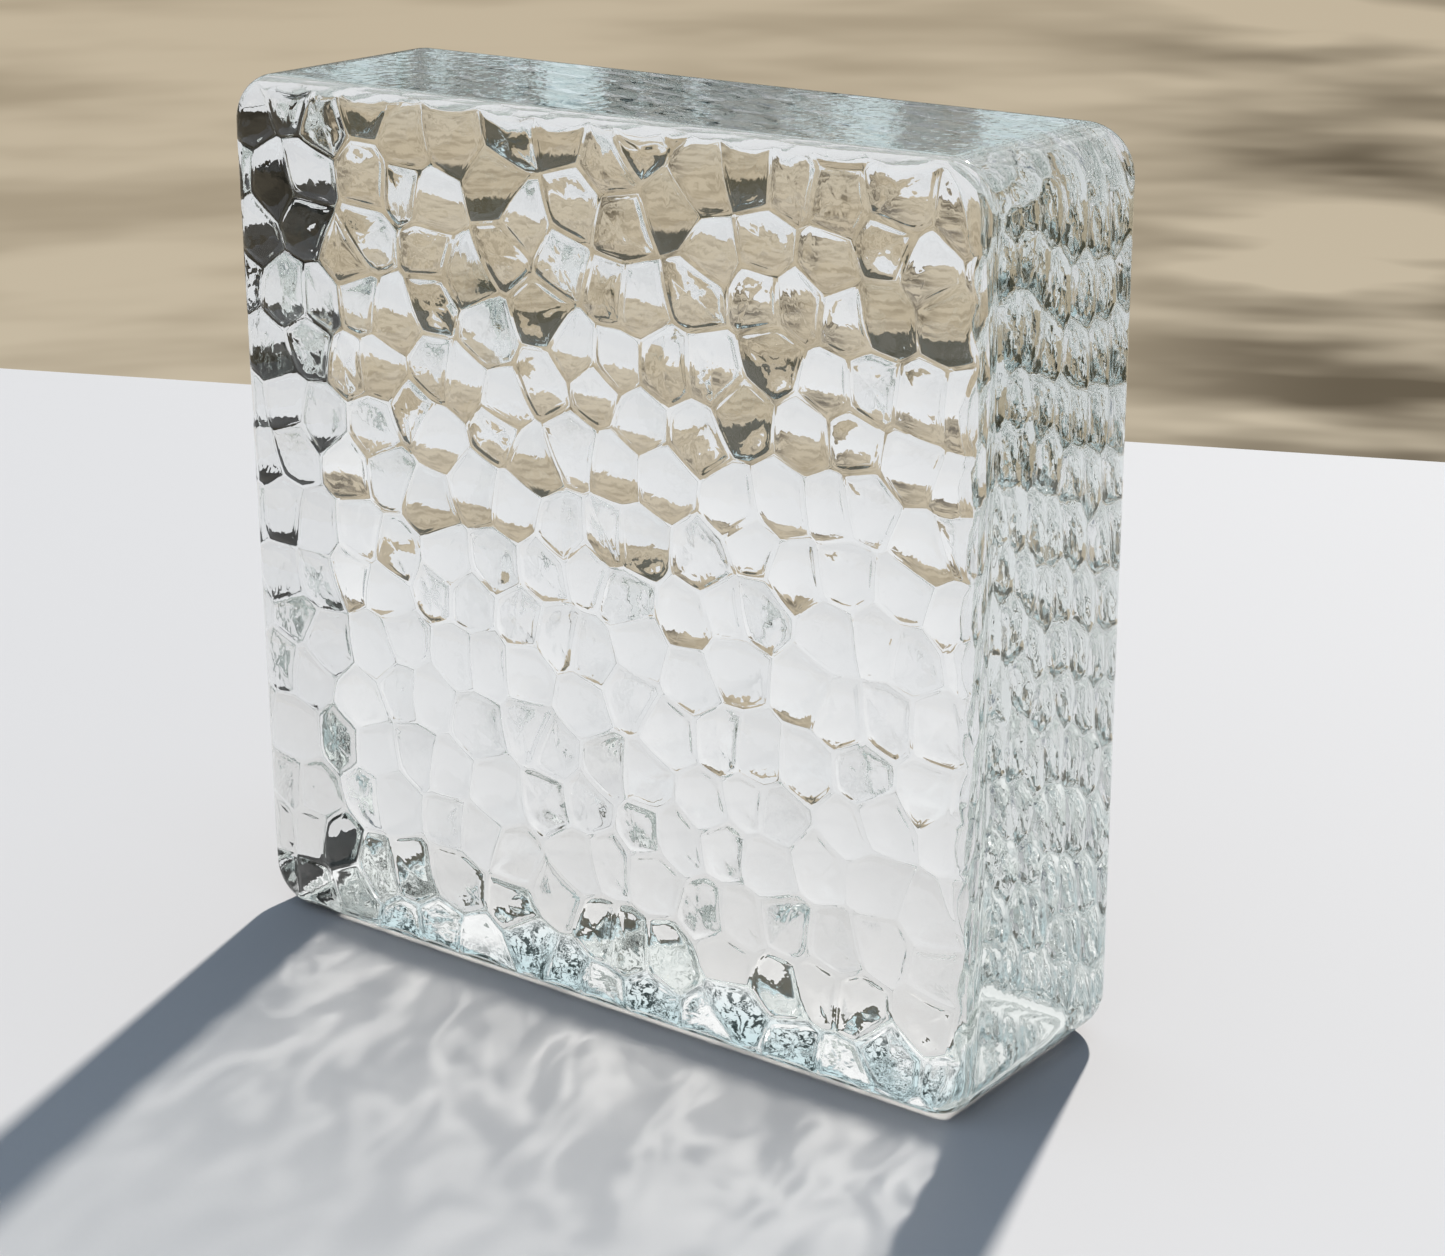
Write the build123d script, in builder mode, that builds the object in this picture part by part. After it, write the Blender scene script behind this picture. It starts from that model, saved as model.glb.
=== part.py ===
"""Solid cast glass block with a pillowed front and back face.

The block stands on one of its narrow sides. X runs along its width, Y through
its depth with the front face towards -Y, and Z is up. The origin is the middle
of the side that it stands on. All lengths are in millimetres.
"""

from build123d import *
import math
import os
import random

# Overall size, with the depth measured over the crests of the pillows
block_width = 200.0
block_height = 200.0
block_depth = 60.0

# Rounding of the outline, and of the rim where a side rolls over to a face
corner_radius = 11.0
rim_radius = 6.0

# The rim would reach this far past the crests, so it meets each pillow at an angle
rim_lead = 0.2

# The pillows: mean width of a cell, height of a row, and how far a cell strays
cell_width = 12.5
cell_row = 13.3
cell_stray = 3.8

# Every pillow is a cap of the same sphere, so two neighbours meet on an upright plane
pillow_radius = 70.0

# Seeds of the two layouts, as a real mould has no two faces alike
front_seed = 7
back_seed = 23


def cell_sites(seed):
    """Centres of the cells over one face: staggered rows, each centre moved at random."""
    chance = random.Random(seed)
    columns = math.ceil(block_width / 2 / cell_width) + 2
    rows = math.ceil(block_height / 2 / cell_row) + 2
    sites = []
    for row in range(-rows, rows + 1):
        for column in range(-columns, columns + 1):
            x = (column + 0.5 * (row % 2)) * cell_width
            z = block_height / 2 + row * cell_row
            across = chance.uniform(-cell_stray, cell_stray)
            along = chance.uniform(-cell_stray, cell_stray)
            sites.append((x + across, z + along))
    return sites


def cut_outline(outline, site, other):
    """The part of a convex outline that is nearer to one site than to the other."""

    def excess(point):
        return math.dist(point, site) ** 2 - math.dist(point, other) ** 2

    kept = []
    for start, end in zip(outline, outline[1:] + outline[:1]):
        before, after = excess(start), excess(end)
        if before <= 0:
            kept.append(start)
        if before * after < 0:
            share = before / (before - after)
            kept.append(tuple(a + share * (b - a) for a, b in zip(start, end)))
    return kept


def cell_outline(site, sites):
    """Polygon of all points of the face that are nearer to this site than to any other."""
    reach = 2 * max(cell_width, cell_row)
    x, z = site
    outline = [(x - reach, z - reach), (x + reach, z - reach), (x + reach, z + reach), (x - reach, z + reach)]
    for other in sites:
        if other != site and math.dist(site, other) < 2 * reach:
            outline = cut_outline(outline, site, other)
    return outline


def on_block(outline):
    """Whether a cell reaches the block, so that a cell wholly outside it isn't made."""
    xs = [x for x, z in outline]
    zs = [z for x, z in outline]
    beside = min(xs) > block_width / 2 or max(xs) < -block_width / 2
    return not (beside or min(zs) > block_height or max(zs) < 0)


def pillow(site, outline):
    """One cell's pillow: the spherical end of a column with the cell's outline."""
    x, z = site
    with BuildPart() as column:
        with BuildSketch(Plane.XZ.offset(block_depth / 2 - pillow_radius)):
            with BuildLine():
                Polyline(*outline, close=True)
            make_face()
        extrude(amount=pillow_radius + rim_lead, clean=False)
        with Locations((x, pillow_radius - block_depth / 2, z)):
            Sphere(pillow_radius, mode=Mode.INTERSECT)
    return column.faces().filter_by(GeomType.SPHERE).sort_by(Axis.Y).first


def pillowed_face(seed):
    """The pillows of a whole front face, sewn into one surface."""
    sites = cell_sites(seed)
    pillows = []
    for site in sites:
        outline = cell_outline(site, sites)
        if on_block(outline):
            pillows.append(pillow(site, outline))
    return Shell(pillows)


front_surface = pillowed_face(front_seed)
back_surface = pillowed_face(back_seed).mirror(Plane.XZ)

# The block: a rounded slab with rolled rims, cut off at the two pillowed surfaces
with BuildPart() as glass_block:
    with BuildSketch(Plane.XZ.offset(-block_depth / 2 - rim_lead)):
        with Locations((0, block_height / 2)):
            RectangleRounded(block_width, block_height, corner_radius)
    extrude(amount=block_depth + 2 * rim_lead)
    fillet(glass_block.faces().filter_by(Axis.Y).edges(), rim_radius)
    split(bisect_by=front_surface, keep=Keep.BOTTOM)
    split(bisect_by=back_surface, keep=Keep.BOTTOM)

glass_block.part.label = "glass_block"

os.makedirs("parts", exist_ok=True)
export_step(glass_block.part, "parts/glass_block.step")
print("glass_block", glass_block.part.bounding_box(), "volume", round(glass_block.part.volume))
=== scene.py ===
# %% [markdown]
# # A solid cast glass block with pillowed faces
# The real thing is one piece of clear glass. Molten glass is pressed in a mould whose floor and
# lid are covered with shallow hollows, so the two large faces come out as a skin of small domes.
# The measured model of that block could simply be given a glass material. But glass shows every
# facet as a broken reflection, so its body is made again with a much finer mesh, which keeps the
# size and the place of the model.

# %% Load the measured model
import bmesh
import bpy
import math
import random
import numpy as np
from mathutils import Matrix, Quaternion, Vector, noise


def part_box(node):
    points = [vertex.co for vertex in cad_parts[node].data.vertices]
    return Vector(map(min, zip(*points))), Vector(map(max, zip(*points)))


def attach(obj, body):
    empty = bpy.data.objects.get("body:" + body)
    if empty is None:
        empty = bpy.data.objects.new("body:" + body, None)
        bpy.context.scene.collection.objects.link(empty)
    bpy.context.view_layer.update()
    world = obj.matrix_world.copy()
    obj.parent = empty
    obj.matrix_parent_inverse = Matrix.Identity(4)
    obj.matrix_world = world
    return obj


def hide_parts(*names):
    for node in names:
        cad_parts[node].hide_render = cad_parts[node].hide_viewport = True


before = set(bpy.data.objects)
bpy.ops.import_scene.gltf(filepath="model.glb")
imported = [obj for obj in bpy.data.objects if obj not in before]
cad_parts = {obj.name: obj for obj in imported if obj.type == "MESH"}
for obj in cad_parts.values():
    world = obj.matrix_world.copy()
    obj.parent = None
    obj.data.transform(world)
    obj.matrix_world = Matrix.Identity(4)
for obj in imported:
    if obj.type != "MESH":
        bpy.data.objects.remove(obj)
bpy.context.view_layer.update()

# %% [markdown]
# ## Sizes
# A block like this is sold by its outer size, and the roundings come from the mould. The outer
# size could be written down again, but then it might drift from the model, so it is read from the
# model's box. The roundings can't be read from a box, so they are written here once. All lengths
# in this script are in millimetres, and MM turns them to metres where a mesh or a node needs it.

# %% Sizes of the block
MM = 0.001
low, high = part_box("glass_block")
WIDTH, DEPTH, HEIGHT = (high - low) / MM

CORNER_RADIUS = 11.0
RIM_RADIUS = 6.0
# the rim would reach this far past the crests, so that it meets each dome at an angle
RIM_LEAD = 0.2
print("block", [round(v, 1) for v in (WIDTH, DEPTH, HEIGHT)], "mm")

# %% [markdown]
# ## Where the cells lie
# The domes crowd together like a foam: every point of a face belongs to the nearest dome. A cell
# texture could draw that as a bump, but a bump doesn't move the outline and bends light only
# roughly. So the cells are real shapes. Their centres stand in staggered rows, about 13 mm
# apart, and each is moved a little at random, with another seed for the back face.

# %% Centres of the cells
CELL_WIDTH = 12.5
CELL_ROW = 13.3
CELL_STRAY = 3.8
FRONT_SEED = 7
BACK_SEED = 23


def cell_sites(seed):
    """Centres of the cells over one face, in staggered rows with each centre moved at random."""
    chance = random.Random(seed)
    columns = math.ceil(WIDTH / 2 / CELL_WIDTH) + 2
    rows = math.ceil(HEIGHT / 2 / CELL_ROW) + 2
    sites = []
    for row in range(-rows, rows + 1):
        for column in range(-columns, columns + 1):
            x = (column + 0.5 * (row % 2)) * CELL_WIDTH
            z = HEIGHT / 2 + row * CELL_ROW
            across = chance.uniform(-CELL_STRAY, CELL_STRAY)
            along = chance.uniform(-CELL_STRAY, CELL_STRAY)
            sites.append((x + across, z + along))
    return sites


front_sites = cell_sites(FRONT_SEED)
back_sites = cell_sites(BACK_SEED)
print("centres", len(front_sites), "in front and", len(back_sites), "behind, some beyond the edge")

# %% [markdown]
# ## The outline of one cell
# Where two domes of the same sphere meet, the groove between them runs half way between their
# centres. So a cell is what is left of a square after it is cut half way to each neighbour. The
# same cut trims the cells at the edge of the face later on.

# %% Cut the cells out
CELL_REACH = 2 * max(CELL_WIDTH, CELL_ROW)


def cut(outline, point, normal):
    """The part of a convex outline that lies behind the line through a point."""
    side = [(x - point[0]) * normal[0] + (z - point[1]) * normal[1] for x, z in outline]
    kept = []
    for i, (start, before) in enumerate(zip(outline, side)):
        j = (i + 1) % len(outline)
        end, after = outline[j], side[j]
        if before <= 0:
            kept.append(start)
        if before * after < 0:
            share = before / (before - after)
            kept.append(tuple(a + share * (b - a) for a, b in zip(start, end)))
    return kept


def cell_outline(site, sites):
    """Outline of all points that are nearer to this site than to any other."""
    x, z = site
    left, right, bottom, top = x - CELL_REACH, x + CELL_REACH, z - CELL_REACH, z + CELL_REACH
    outline = [(left, bottom), (right, bottom), (right, top), (left, top)]
    for other in sites:
        if other != site and math.dist(site, other) < 2 * CELL_REACH:
            middle = ((x + other[0]) / 2, (z + other[1]) / 2)
            outline = cut(outline, middle, (other[0] - x, other[1] - z))
    return outline


middle_site = front_sites[len(front_sites) // 2]
print("the middle cell has", len(cell_outline(middle_site, front_sites)), "corners")

# %% [markdown]
# ## The rolled rim
# Seen from the front the block is a square with rounded corners, and its edge rolls over to the
# face like a quarter pipe. A bevel could do that on a plain slab, but not where the pipe runs
# into the domes. So both are described by one distance: how far a point lies inside the outline.
# The rim is then a simple formula, along straights and corners alike.

# %% Distance from the outline, and the height of the rim there
def inside_by(x, z):
    """How far each point lies inside the block's rounded outline."""
    dx = x - np.clip(x, -WIDTH / 2 + CORNER_RADIUS, WIDTH / 2 - CORNER_RADIUS)
    dz = z - np.clip(z, CORNER_RADIUS, HEIGHT - CORNER_RADIUS)
    to_side = np.minimum(WIDTH / 2 - np.abs(x), np.minimum(z, HEIGHT - z))
    in_corner = (np.abs(dx) > 0) & (np.abs(dz) > 0)
    return np.where(in_corner, CORNER_RADIUS - np.hypot(dx, dz), to_side)


def rim_height(inside):
    """How far the rolled rim stands out from the block's middle plane."""
    across = np.clip(RIM_RADIUS - inside, 0, RIM_RADIUS)
    return DEPTH / 2 + RIM_LEAD - RIM_RADIUS + np.sqrt(RIM_RADIUS ** 2 - across ** 2)


print("rim height at 0, 2 and 6 mm inside", rim_height(np.array([0.0, 2.0, 6.0])).round(2), "mm")

# %% [markdown]
# ## The relief of a face
# Each dome is a cap of a sphere with a radius of 36 mm. Round it runs a flat valley about 1 mm
# wide, which the ridges of the mould press, and a steep thin flank climbs from it to the dome.
# The hot skin also sags a little, so the domes carry slow waves a few millimetres long. All of it
# could be sculpted by hand, but a height for each point of the face is repeatable and exact. The
# meeting lines are rounded, because molten glass doesn't fill a sharp crease.

# %% Domes and the way to the nearest cell borders
PILLOW_RADIUS = 36.0
NEIGHBOURS = (1, 2, 3)


def nearest_domes(x, z, sites):
    """Heights of the domes of the four nearest centres, and the distances to the three borders."""
    centres = np.array(sites)
    squares = (x[:, None] - centres[None, :, 0]) ** 2 + (z[:, None] - centres[None, :, 1]) ** 2
    order = np.argsort(squares, axis=1)[:, :len(NEIGHBOURS) + 1]
    nearest = np.take_along_axis(squares, order, axis=1)
    near = centres[order]
    domes = DEPTH / 2 - PILLOW_RADIUS + np.sqrt(PILLOW_RADIUS ** 2 - nearest)
    borders = []
    for k in NEIGHBOURS:
        apart = np.hypot(*(near[:, k] - near[:, 0]).T)
        borders.append((nearest[:, k] - nearest[:, 0]) / (2 * apart))
    return domes, borders


dome_drop = PILLOW_RADIUS - math.sqrt(PILLOW_RADIUS ** 2 - (CELL_WIDTH / 2) ** 2)
print("a dome drops", round(dome_drop, 2), "mm to its border")

# %% Round the meeting lines and add valleys and waves
GROOVE_BLEND = 0.20
RIM_BLEND = 0.35
CORNER_BLEND = 1.1
VALLEY_HALF = 0.55
FLANK_END = 1.45
FLANK_DROP = 0.13
WAVE_LENGTH = 6.0
WAVE_HEIGHT = 0.14


def soft_max(a, b, blend):
    """The larger of two values, rounded where they are nearly the same."""
    near = np.maximum(blend - np.abs(a - b), 0)
    return np.maximum(a, b) + near ** 2 / (4 * blend)


def soft_min(a, b, blend):
    """The smaller of two values, rounded where they are nearly the same."""
    return -soft_max(-a, -b, blend)


def face_height(x, z, sites):
    """Height of the pillowed face over the block's middle plane."""
    domes, borders = nearest_domes(x, z, sites)
    height = soft_max(domes[:, 0], domes[:, 1], GROOVE_BLEND)
    height = soft_max(height, domes[:, 2], GROOVE_BLEND)
    to_border = soft_min(borders[0], borders[1], CORNER_BLEND)
    to_border = soft_min(to_border, borders[2], CORNER_BLEND)
    climb = np.clip((to_border - VALLEY_HALF) / (FLANK_END - VALLEY_HALF), 0, 1)
    height -= FLANK_DROP * (1 - climb ** 2 * (3 - 2 * climb))
    layer = sites[0][0]
    waves = [noise.noise(Vector((a / WAVE_LENGTH, layer, b / WAVE_LENGTH))) for a, b in zip(x, z)]
    height += WAVE_HEIGHT * (np.array(waves) - 0.5)
    return soft_min(height, rim_height(inside_by(x, z)), RIM_BLEND)


# %% [markdown]
# ## The mesh of one face
# Each cell becomes a little web: its outline, rings that shrink towards its centre, and a fan in
# the middle. The rings crowd near the groove, where the slope changes fastest. A regular grid
# would need many more faces for grooves that sharp, and its steps would show along them.

# %% Trim a cell to the face and divide its edge
# the cells end this far inside the outline, and rings of the rim take over
RIM_START = 1.75
EDGE_STEP = 2.8
CORNER_STEPS = 10


def face_border():
    """The block's outline, moved in to where the cells end."""
    radius = CORNER_RADIUS - RIM_START
    border = []
    for quarter, (sx, sz) in enumerate([(1, 1), (-1, 1), (-1, -1), (1, -1)]):
        cx = sx * (WIDTH / 2 - CORNER_RADIUS)
        cz = HEIGHT / 2 + sz * (HEIGHT / 2 - CORNER_RADIUS)
        for step in range(CORNER_STEPS + 1):
            angle = math.pi / 2 * (quarter + step / CORNER_STEPS)
            border.append((cx + radius * math.cos(angle), cz + radius * math.sin(angle)))
    return border


def trimmed(outline, border):
    """A cell's outline, cut to the border."""
    for start, end in zip(border, border[1:] + border[:1]):
        outline = cut(outline, start, (end[1] - start[1], start[0] - end[0]))
        if len(outline) < 3:
            return []
    return outline


def stepped(outline):
    """An outline with points added, so that no step is much longer than the wanted one."""
    points = []
    for start, end in zip(outline, outline[1:] + outline[:1]):
        count = max(1, math.ceil(math.dist(start, end) / EDGE_STEP - 1e-6))
        for k in range(count):
            points.append(tuple(a + (b - a) * k / count for a, b in zip(start, end)))
    return points


print("the border of a face has", len(face_border()), "points")

# %% Weave the rings of each cell
# distances of the rings from the cell's border
RINGS = (0.0, 0.45, 0.75, 1.1, 1.5, 2.2, 3.3, 4.7)
# in a small cell the last ring stops at this share of the way to the middle
LAST_RING_SHARE = 0.75


def face_web(sites):
    """Points (x, z) and triangles of a whole face, cell by cell, before equal points are merged."""
    border = face_border()
    points, triangles = [], []
    for site in sites:
        outline = trimmed(cell_outline(site, sites), border)
        if not outline:
            continue
        edge = np.array(stepped(outline))
        middle = edge.mean(axis=0)
        count, first = len(edge), len(points)
        inward = middle - edge
        span = np.hypot(inward[:, 0], inward[:, 1])[:, None]
        for ring in RINGS:
            share = np.minimum(ring / span, ring / RINGS[-1] * LAST_RING_SHARE)
            points.extend((edge + inward * share).tolist())
        points.append(middle.tolist())
        for level in range(len(RINGS) - 1):
            for k in range(count):
                a = first + level * count + k
                b = first + level * count + (k + 1) % count
                triangles += [(a, b, b + count), (a, b + count, a + count)]
        last = first + (len(RINGS) - 1) * count
        for k in range(count):
            triangles.append((last + k, last + (k + 1) % count, last + count))
    return np.array(points), triangles


# %% Lay a face as mesh
MERGE_DISTANCE = 0.002


def turn_of(vert):
    """Where a vertex lies round the outline, as an angle about the block's middle."""
    return math.atan2(vert.co.z - HEIGHT / 2 * MM, vert.co.x)


def lay_face(bm, side, sites):
    """One pillowed face. Gives its open edge, in order round the outline."""
    points, triangles = face_web(sites)
    heights = face_height(points[:, 0], points[:, 1], sites)
    verts = [bm.verts.new((x * MM, side * h * MM, z * MM)) for (x, z), h in zip(points, heights)]
    for a, b, c in triangles:
        bm.faces.new((verts[a], verts[b], verts[c]))
    bmesh.ops.remove_doubles(bm, verts=verts, dist=MERGE_DISTANCE * MM)
    kept = {v for v in verts if v.is_valid}
    open_ends = {v for e in bm.edges if e.is_boundary and e.verts[0] in kept for v in e.verts}
    print("face with", len(kept), "points, of which", len(open_ends), "on its edge")
    return sorted(open_ends, key=turn_of)


# %% [markdown]
# ## Closing the block
# On the real block the rim and the sides are pressed smooth. Each point on a face's edge is
# carried down the rim in a few rings, with one more ring just past the rim, so that the flat side
# starts flat and its shading stays calm. A bridge tool could join the last ring of the front to
# that of the back, but their points differ. So they are zipped together along the outline.

# %% Roll the rim
RIM_STEPS = 7
SIDE_LEAD = 0.5


def rim_ring(bm, loop, drop, height, side):
    """One ring of the rim: every point of the loop, at a distance inside the outline and a height."""
    ring = []
    for vert in loop:
        x, z = vert.co.x / MM, vert.co.z / MM
        core_x = min(max(x, -WIDTH / 2 + CORNER_RADIUS), WIDTH / 2 - CORNER_RADIUS)
        core_z = min(max(z, CORNER_RADIUS), HEIGHT - CORNER_RADIUS)
        away = Vector((x - core_x, z - core_z)).normalized() * (CORNER_RADIUS - drop)
        ring.append(bm.verts.new(Vector((core_x + away.x, side * height, core_z + away.y)) * MM))
    return ring


def join_rings(bm, outer, inner, flip):
    """Faces between two rings with the same number of points."""
    for k in range(len(outer)):
        j = (k + 1) % len(outer)
        corners = [outer[k], outer[j], inner[j], inner[k]]
        bm.faces.new(corners[::-1] if flip else corners)


def roll_rim(bm, loop, side):
    """The rim of one face, from its edge down to the flat side. Gives the last ring."""
    previous = loop
    start = math.acos(1 - RIM_START / RIM_RADIUS)
    for step in range(1, RIM_STEPS + 1):
        angle = start * (1 - step / RIM_STEPS)
        drop = RIM_RADIUS * (1 - math.cos(angle))
        height = DEPTH / 2 + RIM_LEAD - RIM_RADIUS * (1 - math.sin(angle))
        ring = rim_ring(bm, loop, drop, height, side)
        join_rings(bm, previous, ring, side > 0)
        previous = ring
    ring = rim_ring(bm, loop, 0, height - SIDE_LEAD, side)
    join_rings(bm, previous, ring, side > 0)
    return ring


# %% Zip the two halves along the sides
def zip_rings(bm, one, other):
    """Triangles between two rings whose points differ, taken in the order they come round."""
    full_turn = 2 * math.pi
    i = j = 0
    while i < len(one) or j < len(other):
        a, b = one[i % len(one)], other[j % len(other)]
        next_a, next_b = one[(i + 1) % len(one)], other[(j + 1) % len(other)]
        ahead_a = turn_of(next_a) + (full_turn if i + 1 >= len(one) else 0)
        ahead_b = turn_of(next_b) + (full_turn if j + 1 >= len(other) else 0)
        if j >= len(other) or (i < len(one) and ahead_a <= ahead_b):
            bm.faces.new((a, next_a, b))
            i += 1
        else:
            bm.faces.new((a, next_b, b))
            j += 1


# %% The whole body
def glass_mesh():
    """The whole block as one closed mesh, in metres."""
    bm = bmesh.new()
    last_rings = []
    for side, sites in ((-1, front_sites), (1, back_sites)):
        loop = lay_face(bm, side, sites)
        last_rings.append(roll_rim(bm, loop, side))
    zip_rings(bm, *last_rings)
    bmesh.ops.recalc_face_normals(bm, faces=bm.faces)
    holes = [e for e in bm.edges if not e.is_manifold]
    print("glass mesh", len(bm.verts), "points", len(bm.faces), "faces, open edges", len(holes))
    mesh = bpy.data.meshes.new("glass_body")
    bm.to_mesh(mesh)
    bm.free()
    mesh.polygons.foreach_set("use_smooth", [True] * len(mesh.polygons))
    return mesh


glass_body = bpy.data.objects.new("glass_body", glass_mesh())
bpy.context.collection.objects.link(glass_body)
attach(glass_body, "root")
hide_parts("glass_block")

# %% [markdown]
# ## Colours and nodes
# Colours are written as the hex values that a paint chart gives. Renderers work in linear light,
# so one function turns them. A second one adds a node with its inputs and settings, which keeps
# each step of a material on a line or two.

# %% Two helpers for materials
def colour(code):
    """Linear red, green, blue and alpha from an sRGB hex code."""
    values = [int(code[i:i + 2], 16) / 255 for i in (1, 3, 5)]
    return [v / 12.92 if v <= 0.04045 else ((v + 0.055) / 1.055) ** 2.4 for v in values] + [1.0]


def add(tree, kind, inputs=None, **settings):
    """Adds a node. An input may be a plain value, or an output of another node to link."""
    node = tree.nodes.new(kind)
    for name, value in settings.items():
        setattr(node, name, value)
    for name, value in (inputs or {}).items():
        if isinstance(value, bpy.types.NodeSocket):
            tree.links.new(value, node.inputs[name])
        else:
            node.inputs[name].default_value = value
    return node


print("mid grey #808080 is", round(colour("#808080")[0], 3), "in linear light")

# %% [markdown]
# ## Cast glass: the skin
# The material is clear low-iron soda-lime glass. Its skin cooled without touching a polishing
# tool: it is fire-polished, so it is glossy, with faint ripples a few millimetres long and a
# trace of haze where it was handled. The ripples are too small for the mesh, so a bump draws
# them, and the haze is a roughness that changes in clouds a few centimetres wide.

# %% Ripples and haze
RIPPLE_LENGTH = 3.5
RIPPLE_DEPTH = 0.05
HAZE_LENGTH = 35.0
HAZE_ROUGHNESS = 0.03

cast_glass = bpy.data.materials.new("fire_polished_cast_glass")
cast_glass.use_nodes = True
skin = cast_glass.node_tree
skin.nodes.clear()
place = add(skin, "ShaderNodeTexCoord")
ripple = add(skin, "ShaderNodeTexNoise",
             {"Vector": place.outputs["Object"], "Scale": 1 / (RIPPLE_LENGTH * MM), "Detail": 2.0,
              "Roughness": 0.5})
ripple_bump = add(skin, "ShaderNodeBump",
                  {"Height": ripple.outputs["Fac"], "Strength": 1.0, "Distance": RIPPLE_DEPTH * MM})
haze = add(skin, "ShaderNodeTexNoise",
           {"Vector": place.outputs["Object"], "Scale": 1 / (HAZE_LENGTH * MM), "Detail": 4.0})
hazy = add(skin, "ShaderNodeMapRange",
           {"Value": haze.outputs["Fac"], "From Min": 0.35, "From Max": 0.75, "To Min": 0.0,
            "To Max": HAZE_ROUGHNESS})
print("ripples", RIPPLE_LENGTH, "mm long, haze patches", HAZE_LENGTH, "mm wide")

# %% [markdown]
# ## Cast glass: a duller rim
# Rims are what gets rubbed when blocks are packed and laid, so they are a touch duller than the
# faces. They could be painted by hand, but the rim already differs in one way: its normal points
# between the face and the side. The normal's part along the depth is 1 on the faces, 0 on the
# sides and between on the rim.

# %% Find the rim and roughen it
RIM_ROUGHNESS = 0.04

facing = add(skin, "ShaderNodeSeparateXYZ", {"Vector": place.outputs["Normal"]})
squarely = add(skin, "ShaderNodeMath", {0: facing.outputs["Y"]}, operation="ABSOLUTE")
on_face = add(skin, "ShaderNodeMapRange",
              {"Value": squarely.outputs[0], "From Min": 0.75, "From Max": 0.92})
off_side = add(skin, "ShaderNodeMapRange",
               {"Value": squarely.outputs[0], "From Min": 0.08, "From Max": 0.35})
on_rim = add(skin, "ShaderNodeMath", {0: off_side.outputs[0], 1: on_face.outputs[0]},
             operation="SUBTRACT", use_clamp=True)
roughness = add(skin, "ShaderNodeMath", {0: on_rim.outputs[0], 1: RIM_ROUGHNESS, 2: hazy.outputs[0]},
                operation="MULTIPLY_ADD")
print("roughness up to", HAZE_ROUGHNESS, "on the faces and", RIM_ROUGHNESS, "more on the rim")

# %% [markdown]
# ## Cast glass: the light in its shadow
# A clear block doesn't cast a plain dark shadow. Its domes work as lenses and gather the light
# in wisps, crisp near the block and blurred further out, while the light that enters at the
# sides is led away and leaves dark borders. Tracing such light takes very long and stays
# noisy. So the surface lets light on its way to a lamp pass straight through, and a pattern on
# the front skin says how much of it. Nothing but the shadow sees that pattern.

# %% Wisps on the front skin
WISP_LENGTH = 20.0
WISP_HALF = 0.13
BETWEEN_WISPS = 0.58
BLURRED = 0.86

upright = add(skin, "ShaderNodeMapping", {"Vector": place.outputs["Object"], "Scale": (1.0, 1.0, 0.7)})
mottle = add(skin, "ShaderNodeTexNoise",
             {"Vector": upright.outputs[0], "Scale": 1 / (WISP_LENGTH * MM),
              "Detail": 3.0, "Roughness": 0.5, "Distortion": 1.0})
# the line where the noise crosses its middle value winds about, and becomes the crest of a wisp
from_crest = add(skin, "ShaderNodeMath", {0: mottle.outputs["Fac"], 1: 0.5}, operation="SUBTRACT")
from_crest = add(skin, "ShaderNodeMath", {0: from_crest.outputs[0]}, operation="ABSOLUTE")
wisps = add(skin, "ShaderNodeMapRange",
            {"Value": from_crest.outputs[0], "From Min": WISP_HALF, "From Max": 0.0,
             "To Min": BETWEEN_WISPS, "To Max": 1.0}, interpolation_type="SMOOTHSTEP")
up = add(skin, "ShaderNodeSeparateXYZ", {"Vector": place.outputs["Object"]})
far_out = add(skin, "ShaderNodeMapRange",
              {"Value": up.outputs["Z"], "From Min": 25 * MM, "From Max": 110 * MM, "To Min": 0.0,
               "To Max": 0.8}, interpolation_type="SMOOTHSTEP")
wisps = add(skin, "ShaderNodeMix", {"Factor": far_out.outputs[0], "A": wisps.outputs[0], "B": BLURRED})
print("wisps from noise", WISP_LENGTH, "mm long")

# %% Where the light may pass at all
# the foot of the block keeps a dark line in front of it
off_foot = add(skin, "ShaderNodeMapRange",
               {"Value": up.outputs["Z"], "From Min": 3 * MM, "From Max": 11 * MM},
               interpolation_type="SMOOTHSTEP")
front_pass = add(skin, "ShaderNodeMath",
                 {0: wisps.outputs[0], 1: off_foot.outputs[0]}, operation="MULTIPLY")
# the back skin and the underside are plain, so that the light meets the pattern only once
on_back = add(skin, "ShaderNodeMath", {0: facing.outputs["Y"], 1: 0.0}, operation="GREATER_THAN")
skin_pass = add(skin, "ShaderNodeMath",
                {0: front_pass.outputs[0], 1: on_back.outputs[0]}, operation="MAXIMUM")
face_pass = add(skin, "ShaderNodeMath",
                {0: on_face.outputs[0], 1: skin_pass.outputs[0]}, operation="MULTIPLY")
underside = add(skin, "ShaderNodeMapRange",
                {"Value": facing.outputs["Z"], "From Min": -0.9, "From Max": -0.95})
passed = add(skin, "ShaderNodeMath",
             {0: face_pass.outputs[0], 1: underside.outputs[0]}, operation="MAXIMUM")
ray = add(skin, "ShaderNodeLightPath")
shadow_pass = add(skin, "ShaderNodeMath", {0: passed.outputs[0], 1: ray.outputs["Is Shadow Ray"]},
                  operation="MULTIPLY")
print("the glass material has", len(skin.nodes), "nodes so far")

# %% [markdown]
# ## Cast glass: index and tint
# Soda-lime glass has an index of 1.52. Its faint cool tint is in the glass and not on its
# surface: a hand's width of it shows more colour than a finger's width. So the surface is pure
# white, and the tint is an absorption in the volume, which grows with the length of the path.

# %% Put the glass together
GLASS_INDEX = 1.52
TINT_DENSITY = 1.8

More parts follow.
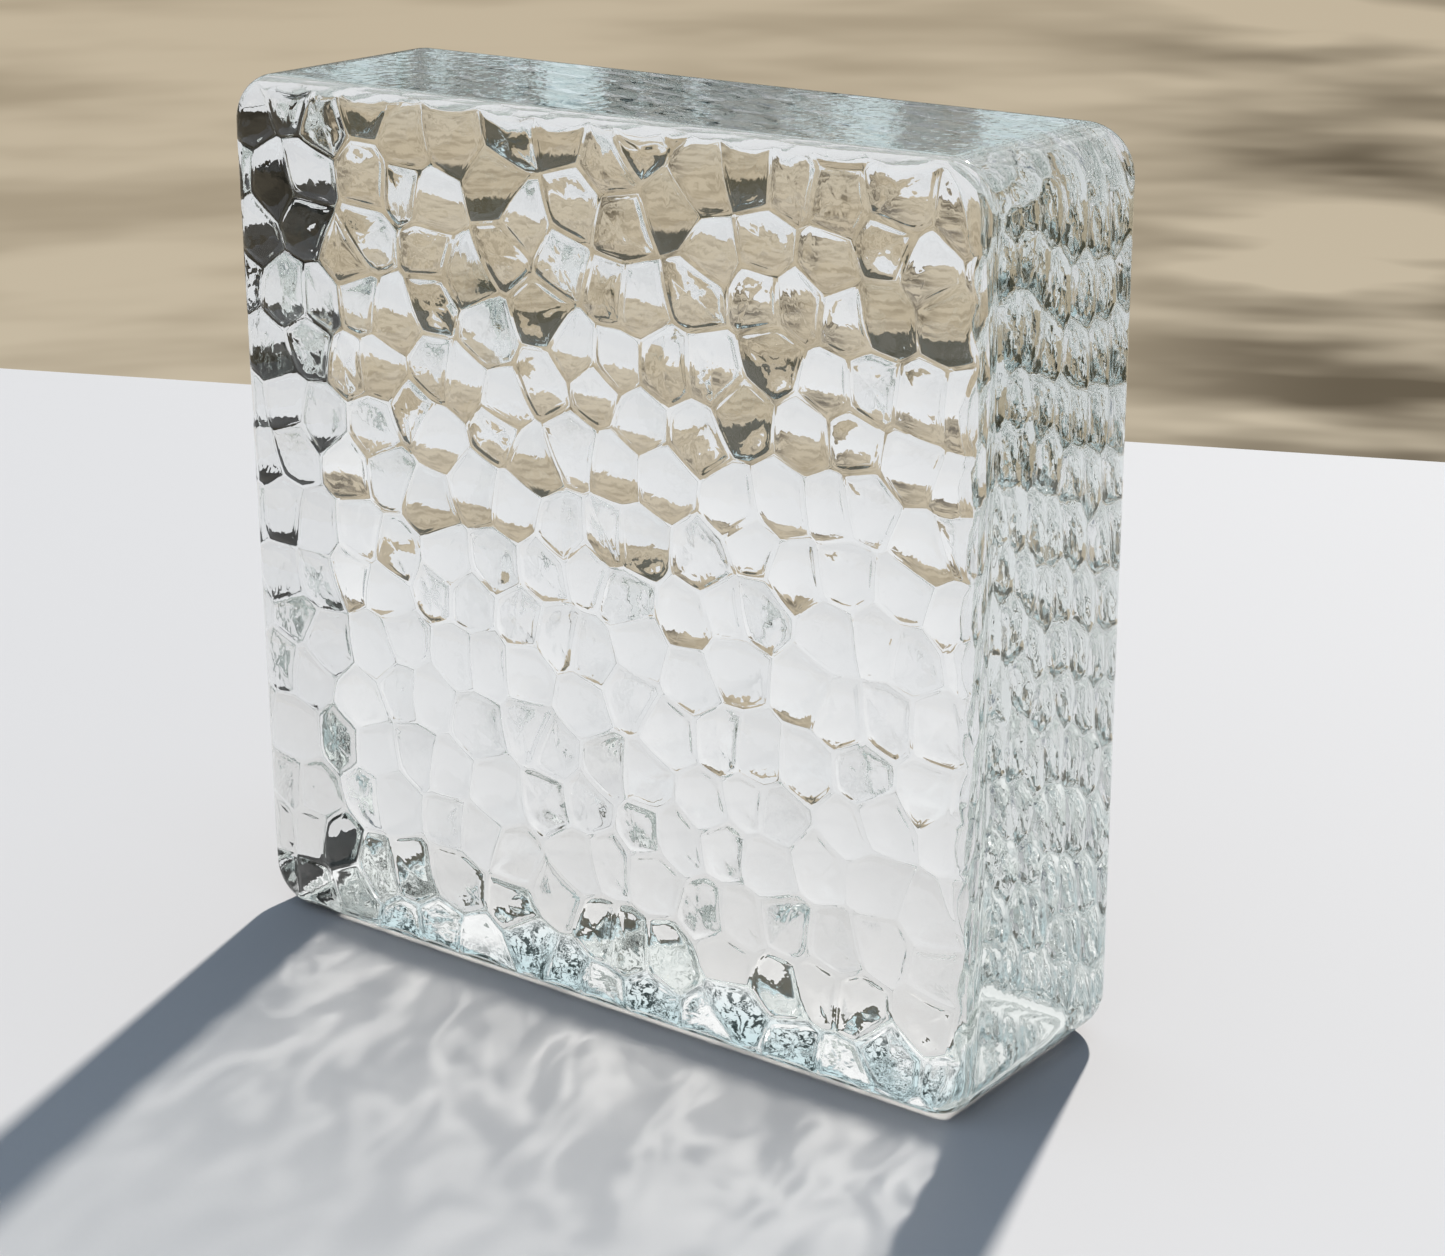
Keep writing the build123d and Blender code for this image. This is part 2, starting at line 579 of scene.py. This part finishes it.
glass = add(skin, "ShaderNodeBsdfPrincipled",
            {"Base Color": colour("#ffffff"), "Roughness": roughness.outputs[0], "IOR": GLASS_INDEX,
             "Transmission Weight": 1.0, "Normal": ripple_bump.outputs["Normal"]})
clear = add(skin, "ShaderNodeBsdfTransparent", {"Color": colour("#ffffff")})
surface = add(skin, "ShaderNodeMixShader",
              {0: shadow_pass.outputs[0], 1: glass.outputs[0], 2: clear.outputs[0]})
tint = add(skin, "ShaderNodeVolumeAbsorption", {"Color": colour("#e6f2ec"), "Density": TINT_DENSITY})
add(skin, "ShaderNodeOutputMaterial", {"Surface": surface.outputs[0], "Volume": tint.outputs[0]})
glass_body.data.materials.append(cast_glass)
print("glass index", GLASS_INDEX, "and", len(skin.nodes), "nodes")

# %% [markdown]
# ## The floor
# Clear glass has no look of its own: it shows its surroundings, bent. So the floor is part of
# the look. It could run on to the horizon, but the domes are at their best when each of them
# shows an edge between light and dark. So the floor is a pale square plate of white laminate,
# satin from its press plate, with its far edge in view. A hair of air is left under the block,
# as there is on a real floor, because glass reflects fully from its underside only against air.

# %% Pale floor plate
FLOOR_HALF = 480.0
FLOOR_TURN = 22.0
FLOOR_GAP = 0.05


def pale_floor():
    """A flat square plate under the block, turned about the upright axis."""
    turn = math.radians(FLOOR_TURN)
    corners = []
    for a, b in ((-1, -1), (1, -1), (1, 1), (-1, 1)):
        corner = Vector((a * FLOOR_HALF, b * FLOOR_HALF, -FLOOR_GAP)) * MM
        corner.rotate(Quaternion((0, 0, 1), turn))
        corners.append(corner)
    mesh = bpy.data.meshes.new("pale_floor")
    mesh.from_pydata(corners, [], [(0, 1, 2, 3)])
    floor = bpy.data.objects.new("pale_floor", mesh)
    bpy.context.collection.objects.link(floor)
    laminate = bpy.data.materials.new("white_laminate")
    laminate.use_nodes = True
    sheen = laminate.node_tree.nodes["Principled BSDF"].inputs
    sheen["Base Color"].default_value = colour("#e3e4e6")
    sheen["Roughness"].default_value = 0.65
    sheen["Specular IOR Level"].default_value = 0.08
    mesh.materials.append(laminate)
    return floor


floor = pale_floor()
print("floor plate", 2 * FLOOR_HALF, "mm square, turned", FLOOR_TURN, "degrees")

# %% [markdown]
# ## The backdrop
# The block stands in a light tent: a pale warm cloth low down and a bright cool roof above it.
# An image could be wrapped round the scene, but a few noises are enough, because the domes break
# the backdrop into small pieces. It has uneven cloth with painted shade along its folds, a dark
# strip of painted shade where cloth and roof meet, a dark side and thin seams in the roof, each of
# which the glass turns into a kind of mark that makes it read as glass. First come the colours by
# height.

# %% Colours from straight down to straight up
tent = bpy.data.worlds.new("light_tent")
bpy.context.scene.world = tent
tent.use_nodes = True
air = tent.node_tree
air.nodes.clear()
direction = add(air, "ShaderNodeTexCoord")
along = add(air, "ShaderNodeSeparateXYZ", {"Vector": direction.outputs["Generated"]})
lift = add(air, "ShaderNodeMapRange", {"Value": along.outputs["Z"], "From Min": -1.0, "From Max": 1.0})
heights = add(air, "ShaderNodeValToRGB", {"Fac": lift.outputs[0]})
stops = ((0.0, "#c2b6a0"), (0.36, "#c8bca6"), (0.44, "#c3b59d"), (0.49, "#bfb199"),
         (0.505, "#e6eaea"), (0.58, "#d2ecf2"), (0.68, "#dff0f3"), (0.78, "#ffffff"))
while len(heights.color_ramp.elements) < len(stops):
    heights.color_ramp.elements.new(0.5)
for element, (position, code) in zip(heights.color_ramp.elements, stops):
    element.position = position
    element.color = colour(code)
print("backdrop with", len(stops), "colours by height")

# %% [markdown]
# ## Folds in the cloth, with painted shade
# Cloth that hangs in level swags has shade along each fold, and that shade is painted into the
# backdrop's colour. A noise that is stretched level draws it, softly all round and strongly
# towards the dark side, which lies right and behind.

# %% Level folds, darkened with painted shade
DARK_SIDE = math.radians(55)

stretched = add(air, "ShaderNodeMapping",
                {"Vector": direction.outputs["Generated"], "Scale": (2.5, 2.5, 22.0)})
fold = add(air, "ShaderNodeTexNoise", {"Vector": stretched.outputs[0], "Scale": 2.2, "Detail": 3.0})
in_cloth = add(air, "ShaderNodeMapRange",
               {"Value": along.outputs["Z"], "From Min": 0.0, "From Max": -0.03},
               interpolation_type="SMOOTHSTEP")
# painted shade along the folds, at half strength, in the cloth only
soft_fold_shade = add(air, "ShaderNodeMapRange",
                {"Value": fold.outputs["Fac"], "From Min": 0.40, "From Max": 0.66},
                interpolation_type="SMOOTHSTEP")
soft_fold_shade = add(air, "ShaderNodeMath",
                {0: soft_fold_shade.outputs[0], 1: in_cloth.outputs[0]}, operation="MULTIPLY")
soft_fold_shade = add(air, "ShaderNodeMath", {0: soft_fold_shade.outputs[0], 1: 0.5}, operation="MULTIPLY")
cloth = add(air, "ShaderNodeMix",
            {"Factor": soft_fold_shade.outputs[0], 6: heights.outputs["Color"], 7: colour("#857761")},
            data_type="RGBA")

level = add(air, "ShaderNodeCombineXYZ", {"X": along.outputs["X"], "Y": along.outputs["Y"]})
bearing = add(air, "ShaderNodeVectorMath", {0: level.outputs[0]}, operation="NORMALIZE")
to_dark = add(air, "ShaderNodeVectorMath",
              {0: bearing.outputs[0], 1: (math.cos(DARK_SIDE), math.sin(DARK_SIDE), 0)},
              operation="DOT_PRODUCT")
aside = add(air, "ShaderNodeMapRange",
            {"Value": to_dark.outputs["Value"], "From Min": 0.38, "From Max": 0.50},
            interpolation_type="SMOOTHSTEP")
# deeper painted shade along the folds towards the dark side
deep_fold_shade = add(air, "ShaderNodeMapRange",
                {"Value": fold.outputs["Fac"], "From Min": 0.42, "From Max": 0.62, "To Min": 0.0,
                 "To Max": 0.8})
deep_fold_shade = add(air, "ShaderNodeMath",
                {0: deep_fold_shade.outputs[0], 1: aside.outputs[0]}, operation="MULTIPLY")
deep_fold_shade = add(air, "ShaderNodeMath",
                {0: deep_fold_shade.outputs[0], 1: in_cloth.outputs[0]}, operation="MULTIPLY")
cloth = add(air, "ShaderNodeMix",
            {"Factor": deep_fold_shade.outputs[0], 6: cloth.outputs[2], 7: colour("#4b4234")}, data_type="RGBA")
print("folds drawn, dark side at", round(math.degrees(DARK_SIDE)), "degrees")

# %% [markdown]
# ## Painted shade between cloth and roof
# A dark strip of painted shade at eye height, where cloth and roof meet, gives the domes the
# dark crescents at their lower ends. With straight edges it would look like a ruled line in every
# dome, so a fine noise frays both edges.

# %% Frayed strip of painted shade
fray = add(air, "ShaderNodeTexNoise",
           {"Vector": direction.outputs["Generated"], "Scale": 9.0, "Detail": 5.0, "Roughness": 0.65})
strip_foot = add(air, "ShaderNodeMath", {0: fray.outputs["Fac"], 1: 0.08, 2: along.outputs["Z"]},
                 operation="MULTIPLY_ADD")
strip_foot = add(air, "ShaderNodeMapRange",
                 {"Value": strip_foot.outputs[0], "From Min": -0.035, "From Max": -0.020},
                 interpolation_type="SMOOTHSTEP")
strip_top = add(air, "ShaderNodeMath", {0: fray.outputs["Fac"], 1: 0.60, 2: along.outputs["Z"]},
                operation="MULTIPLY_ADD")
strip_top = add(air, "ShaderNodeMapRange",
                {"Value": strip_top.outputs[0], "From Min": 0.47, "From Max": 0.44},
                interpolation_type="SMOOTHSTEP")
# the frayed strip is painted shade, which darkens the backdrop's colour
painted_shade_strip = add(air, "ShaderNodeMath",
            {0: strip_foot.outputs[0], 1: strip_top.outputs[0]}, operation="MULTIPLY")
with_painted_shade_strip = add(air, "ShaderNodeMix",
             {"Factor": painted_shade_strip.outputs[0], 6: cloth.outputs[2], 7: colour("#4d4a3c")}, data_type="RGBA")
print("frayed strip at eye height")

# %% [markdown]
# ## Seams in the roof
# The lowest row of domes and the flat side show the roof, upside down. A plain roof leaves them
# empty. Thin dark seams that wind across it become the fine dark lines that real glass shows.
# They keep to the lower roof, so that the light from straight above stays clean.

# %% Winding seams
seam = add(air, "ShaderNodeTexNoise",
           {"Vector": direction.outputs["Generated"], "Scale": 7.0,
            "Detail": 3.0, "Roughness": 0.6, "Distortion": 1.8})
seam = add(air, "ShaderNodeMath", {0: seam.outputs["Fac"], 1: 0.5}, operation="SUBTRACT")
seam = add(air, "ShaderNodeMath", {0: seam.outputs[0]}, operation="ABSOLUTE")
seam = add(air, "ShaderNodeMapRange", {"Value": seam.outputs[0], "From Min": 0.052, "From Max": 0.032},
           interpolation_type="SMOOTHSTEP")
not_high = add(air, "ShaderNodeMapRange",
               {"Value": along.outputs["Z"], "From Min": 0.62, "From Max": 0.45},
               interpolation_type="SMOOTHSTEP")
over_strip = add(air, "ShaderNodeMapRange",
                 {"Value": along.outputs["Z"], "From Min": 0.06, "From Max": 0.12})
seams = add(air, "ShaderNodeMath", {0: seam.outputs[0], 1: not_high.outputs[0]}, operation="MULTIPLY")
seams = add(air, "ShaderNodeMath", {0: seams.outputs[0], 1: over_strip.outputs[0]}, operation="MULTIPLY")
seamed = add(air, "ShaderNodeMix",
             {"Factor": seams.outputs[0], 6: with_painted_shade_strip.outputs[2], 7: colour("#2c3a3a")}, data_type="RGBA")
print("seams in the lower roof")

# %% [markdown]
# ## The dark side
# Glass looks solid when it shows something dark beside something bright. The left end of the
# block reflects what lies to the right and behind, so the tent is open and dark there, up to
# well over eye height. The side behind the camera is a little duller than the rest.

# %% Duller behind the camera, dark to the right
behind = add(air, "ShaderNodeMapRange",
             {"Value": along.outputs["Y"], "From Min": 0.15, "From Max": -0.45, "To Min": 0.0,
              "To Max": 0.10}, interpolation_type="SMOOTHSTEP")
dulled = add(air, "ShaderNodeMix",
             {"Factor": behind.outputs[0], 6: seamed.outputs[2], 7: colour("#47524e")}, data_type="RGBA")
opening = add(air, "ShaderNodeMapRange",
              {"Value": to_dark.outputs["Value"], "From Min": 0.74, "From Max": 0.84},
              interpolation_type="SMOOTHSTEP")
opening_top = add(air, "ShaderNodeMath", {0: fray.outputs["Fac"], 1: 0.30, 2: along.outputs["Z"]},
                  operation="MULTIPLY_ADD")
opening_top = add(air, "ShaderNodeMapRange",
                  {"Value": opening_top.outputs[0], "From Min": 0.98, "From Max": 0.88},
                  interpolation_type="SMOOTHSTEP")
opening = add(air, "ShaderNodeMath",
              {0: opening.outputs[0], 1: opening_top.outputs[0]}, operation="MULTIPLY")
picture = add(air, "ShaderNodeMix",
              {"Factor": opening.outputs[0], 6: dulled.outputs[2], 7: colour("#1d1c19")}, data_type="RGBA")
print("the backdrop has", len(air.nodes), "nodes so far")

# %% [markdown]
# ## The picture and the light are two things
# A backdrop that is bright enough to look at would also light the floor, and its colours would
# tint everything. So the picture is shown only to rays that look at it, straight or by way of the
# glass, and what lights the surfaces is one plain, slightly cool level of shade. A ray that has
# already left a matt surface counts as light, whatever it passes afterwards.

# %% Choose between picture and light
seen = add(air, "ShaderNodeBackground", {"Color": picture.outputs[2], "Strength": 1.0})
shade = add(air, "ShaderNodeBackground", {"Color": colour("#818d9a"), "Strength": 1.0})
look = add(air, "ShaderNodeLightPath")
looked = add(air, "ShaderNodeMath", {0: look.outputs["Is Camera Ray"], 1: look.outputs["Is Glossy Ray"]},
             operation="ADD")
looked = add(air, "ShaderNodeMath", {0: looked.outputs[0], 1: look.outputs["Is Transmission Ray"]},
             operation="ADD", use_clamp=True)
not_light = add(air, "ShaderNodeMath", {0: look.outputs["Diffuse Depth"], 1: 0.5}, operation="LESS_THAN")
looked = add(air, "ShaderNodeMath",
             {0: looked.outputs[0], 1: not_light.outputs[0]}, operation="MULTIPLY")
tent_light = add(air, "ShaderNodeMixShader",
                 {0: looked.outputs[0], 1: shade.outputs[0], 2: seen.outputs[0]})
add(air, "ShaderNodeOutputWorld", {"Surface": tent_light.outputs[0]})
print("the backdrop has", len(air.nodes), "nodes")

# %% [markdown]
# ## The key light
# Glass asks for light from behind: it comes through the block towards the viewer and puts the
# bright wisps into its shadow. An area lamp would do on a small stage, but its light weakens
# across the floor. A distant lamp stays even. Its small angle leaves the shadow's edge crisp at
# the block's foot and soft further out.

# %% Key light
KEY_BEARING = 18.0
KEY_HEIGHT = 38.0
KEY_SPREAD = 2.2
KEY_POWER = 3.85


def key_light():
    """A distant lamp behind the block, a little to the left, as seen from its front."""
    lamp = bpy.data.lights.new("key_light", "SUN")
    lamp.energy = KEY_POWER
    lamp.angle = math.radians(KEY_SPREAD)
    lamp.color = colour("#fff8f0")[:3]
    key = bpy.data.objects.new("key_light", lamp)
    bpy.context.collection.objects.link(key)
    bearing, rise = math.radians(KEY_BEARING), math.radians(KEY_HEIGHT)
    ahead = math.cos(rise)
    towards = Vector((-math.sin(bearing) * ahead, math.cos(bearing) * ahead, math.sin(rise)))
    key.rotation_mode = "QUATERNION"
    key.rotation_quaternion = towards.to_track_quat("Z", "Y")


key_light()
print("key light", KEY_HEIGHT, "degrees up and", KEY_BEARING, "degrees left of straight behind")

# %% [markdown]
# ## The camera
# The view is three quarters from the front right, a little above the block, so that the front, the
# right side and the top all show. The lens is a short telephoto one, which keeps upright edges
# nearly parallel. The place and the aim come from a fit of the block's outline to the
# photograph, with a slight roll, and are written as plain lengths.

# %% Camera
SENSOR_WIDTH = 36.0
LENS = 75.77
CAMERA_PLACE = (399.35, -502.94, 300.25)
CAMERA_AIM = (15.77, 0, 84.86)
CAMERA_ROLL = -0.0051


def photo_camera():
    """The camera at the photograph's viewing angle."""
    data = bpy.data.cameras.new("camera")
    data.sensor_width = SENSOR_WIDTH
    data.lens = LENS
    camera = bpy.data.objects.new("camera", data)
    bpy.context.collection.objects.link(camera)
    camera.location = Vector(CAMERA_PLACE) * MM
    look_along = (Vector(CAMERA_AIM) * MM - camera.location).to_track_quat("-Z", "Y")
    camera.rotation_mode = "QUATERNION"
    camera.rotation_quaternion = look_along @ Quaternion((0, 0, 1), CAMERA_ROLL)
    return camera


bpy.context.scene.camera = photo_camera()
print("camera", round(Vector(CAMERA_PLACE).length), "mm from the block's foot")

# %% [markdown]
# ## How far light is followed
# A ray inside the block may bounce many times between its faces before it leaves. If it is
# given up too early it turns black, and the block gets dirty corners, so the limits are high.
# Gathered light is left to the wisps above, and is switched off here, because it would only add
# noise.

# %% Render limits
scene = bpy.context.scene
scene.view_settings.view_transform = "Standard"
scene.cycles.use_denoising = True
scene.cycles.caustics_reflective = False
scene.cycles.caustics_refractive = False
scene.cycles.max_bounces = 24
scene.cycles.transmission_bounces = 20
scene.cycles.glossy_bounces = 12
scene.cycles.transparent_max_bounces = 8
print("light is followed for up to", scene.cycles.max_bounces, "bounces")
